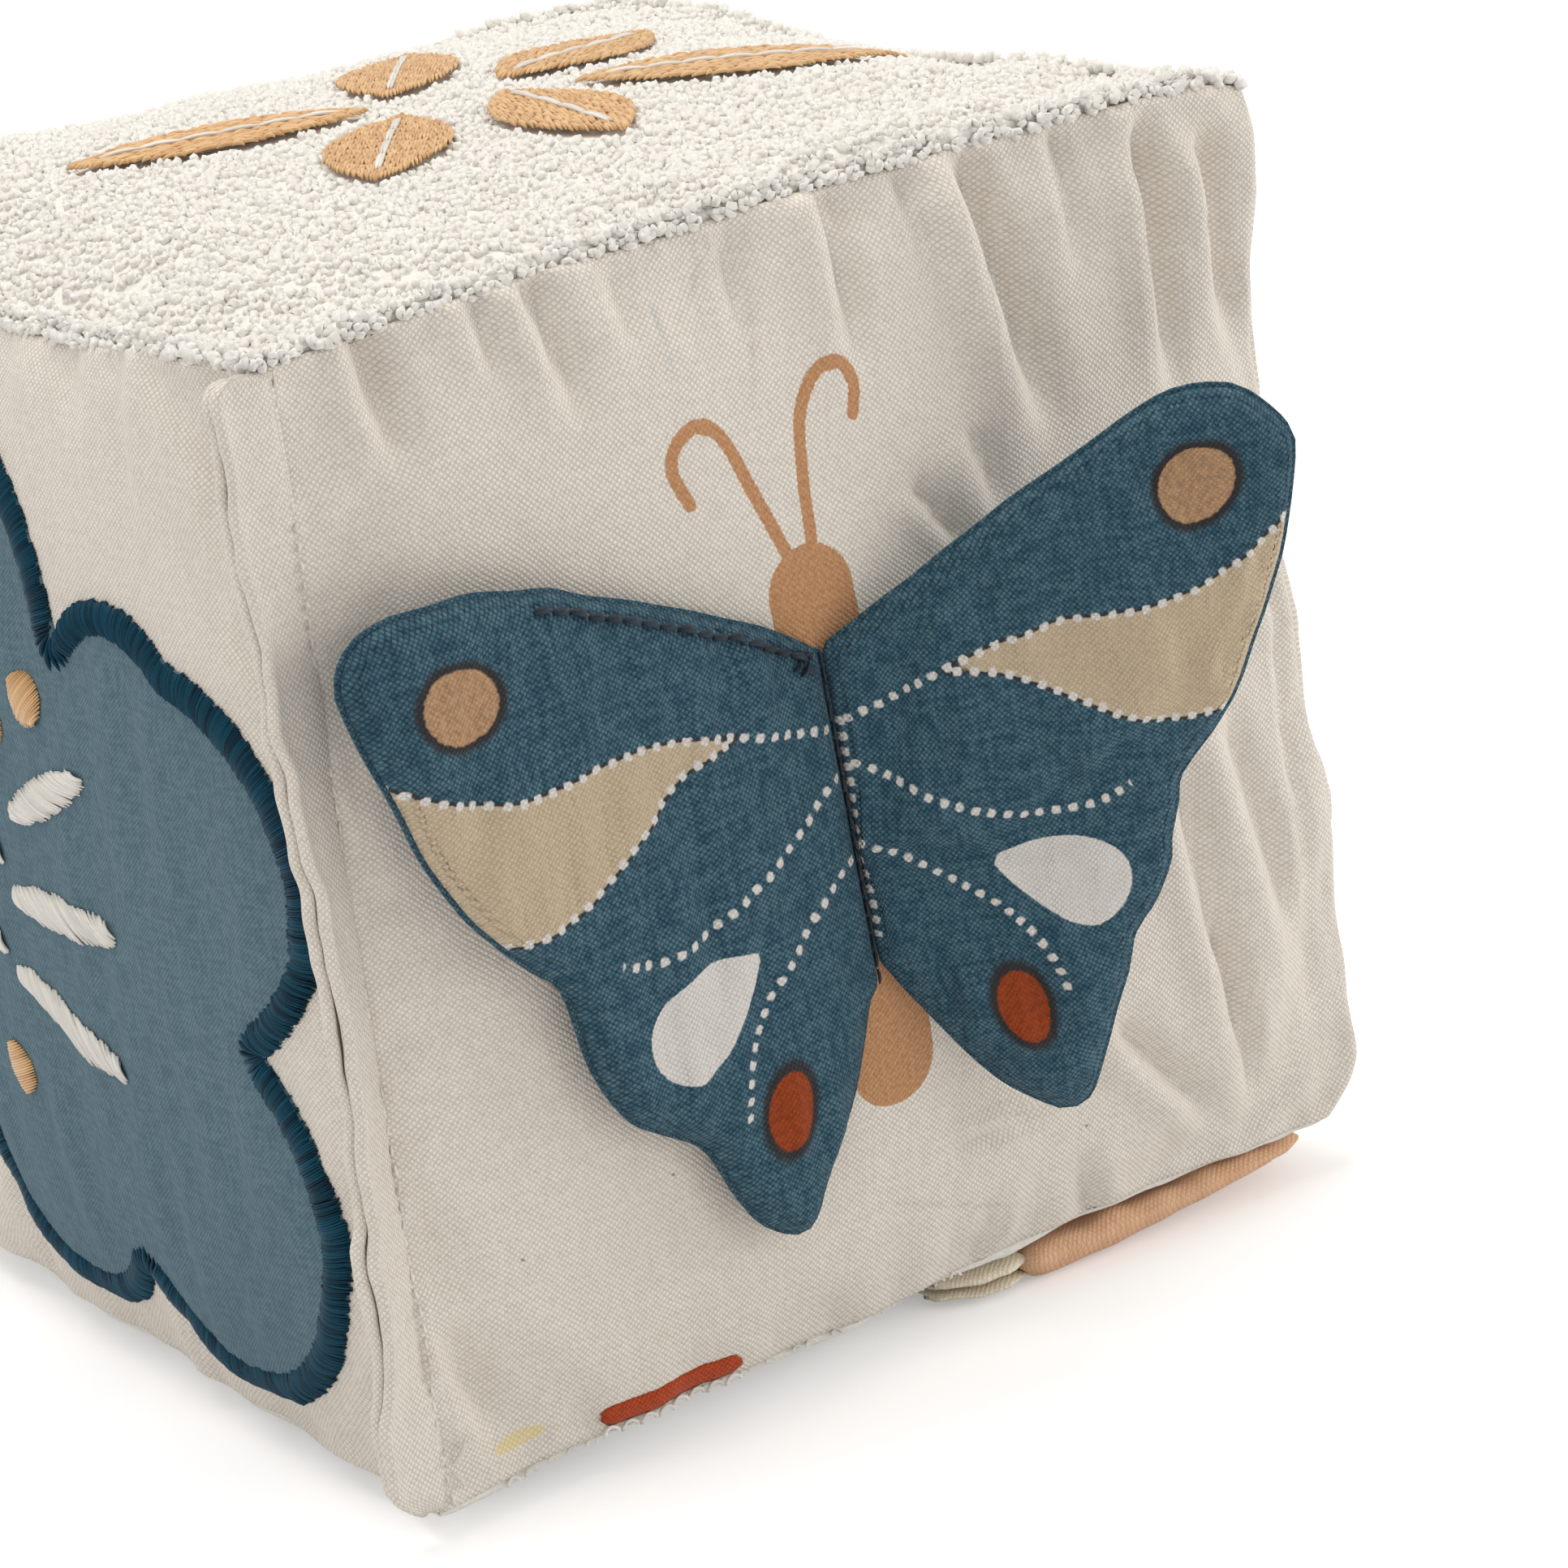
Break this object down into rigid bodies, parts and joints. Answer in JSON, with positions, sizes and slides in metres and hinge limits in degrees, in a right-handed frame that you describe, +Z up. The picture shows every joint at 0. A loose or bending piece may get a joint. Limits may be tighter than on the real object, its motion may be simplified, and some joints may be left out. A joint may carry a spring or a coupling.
{
  "type": "soft fabric block",
  "caption": "Soft stuffed cube of sewn fabric panels with a terry top, a cloud appliqué, and two padded butterfly wings that lift on their seam.",
  "frame": {"origin": "middle of the flat underside, where the block stands", "axes": "+Z up; -Y towards the front panel with the butterfly wings; -X towards the left panel with the cloud patch"},
  "size_m": [0.1521, 0.1797, 0.152],
  "materials": {
    "canvas": "matte",
    "terry": "matte",
    "fibre": "matte",
    "rattle": "satin",
    "bead": "satin",
    "wing_blue": "matte",
    "film": "satin",
    "slate": "matte",
    "teal_satin": "satin",
    "white_satin": "satin",
    "tan_satin": "satin",
    "tan_cloth": "matte",
    "beige_cloth": "matte",
    "terracotta": "matte"
  },
  "bodies": {
    "block": {"back_panel": "canvas", "base_fold": "beige_cloth", "base_pad": "tan_cloth", "bottom_panel": "terry", "closing_hem_front": "canvas", "closing_hem_side": "canvas", "cloud_border": "teal_satin", "cloud_patch": "slate", "edge_strip": "terracotta", "filling_lower": "fibre", "filling_upper": "fibre", "front_panel": "canvas", "left_panel": "canvas", "patch_bud_1": "tan_satin", "patch_bud_2": "tan_satin", "patch_bud_3": "tan_satin", "patch_bud_4": "tan_satin", "patch_leaf_1": "white_satin", "patch_leaf_2": "white_satin", "patch_leaf_3": "white_satin", "patch_leaf_4": "white_satin", "patch_leaf_5": "white_satin", "rattle_bead_1": "bead", "rattle_bead_2": "bead", "rattle_bead_3": "bead", "rattle_bead_4": "bead", "rattle_bead_5": "bead", "rattle_shell_lower": "rattle", "rattle_shell_upper": "rattle", "right_panel": "canvas", "top_leaf_1": "tan_satin", "top_leaf_2": "tan_satin", "top_leaf_3": "tan_satin", "top_leaf_4": "tan_satin", "top_leaf_5": "tan_satin", "top_leaf_6": "tan_satin", "top_panel": "terry", "wing_seam": "wing_blue"},
    "wing_left": {"wing_left_back": "wing_blue", "wing_left_batting": "fibre", "wing_left_film": "film", "wing_left_front": "wing_blue"},
    "wing_right": {"wing_right_back": "wing_blue", "wing_right_batting": "fibre", "wing_right_film": "film", "wing_right_front": "wing_blue"}
  },
  "joints": [
    {"name": "wing_left_hinge", "type": "hinge", "parent": "block", "child": "wing_left", "pos_m": [-0.0057, -0.07635, 0.095], "axis": [-0.0645, 0, 0.9979], "range_deg": [-2, 53]},
    {"name": "wing_right_hinge", "type": "hinge", "parent": "block", "child": "wing_right", "pos_m": [-0.0057, -0.07635, 0.095], "axis": [0.0645, 0, -0.9979], "range_deg": [-28, 27]}
  ]
}
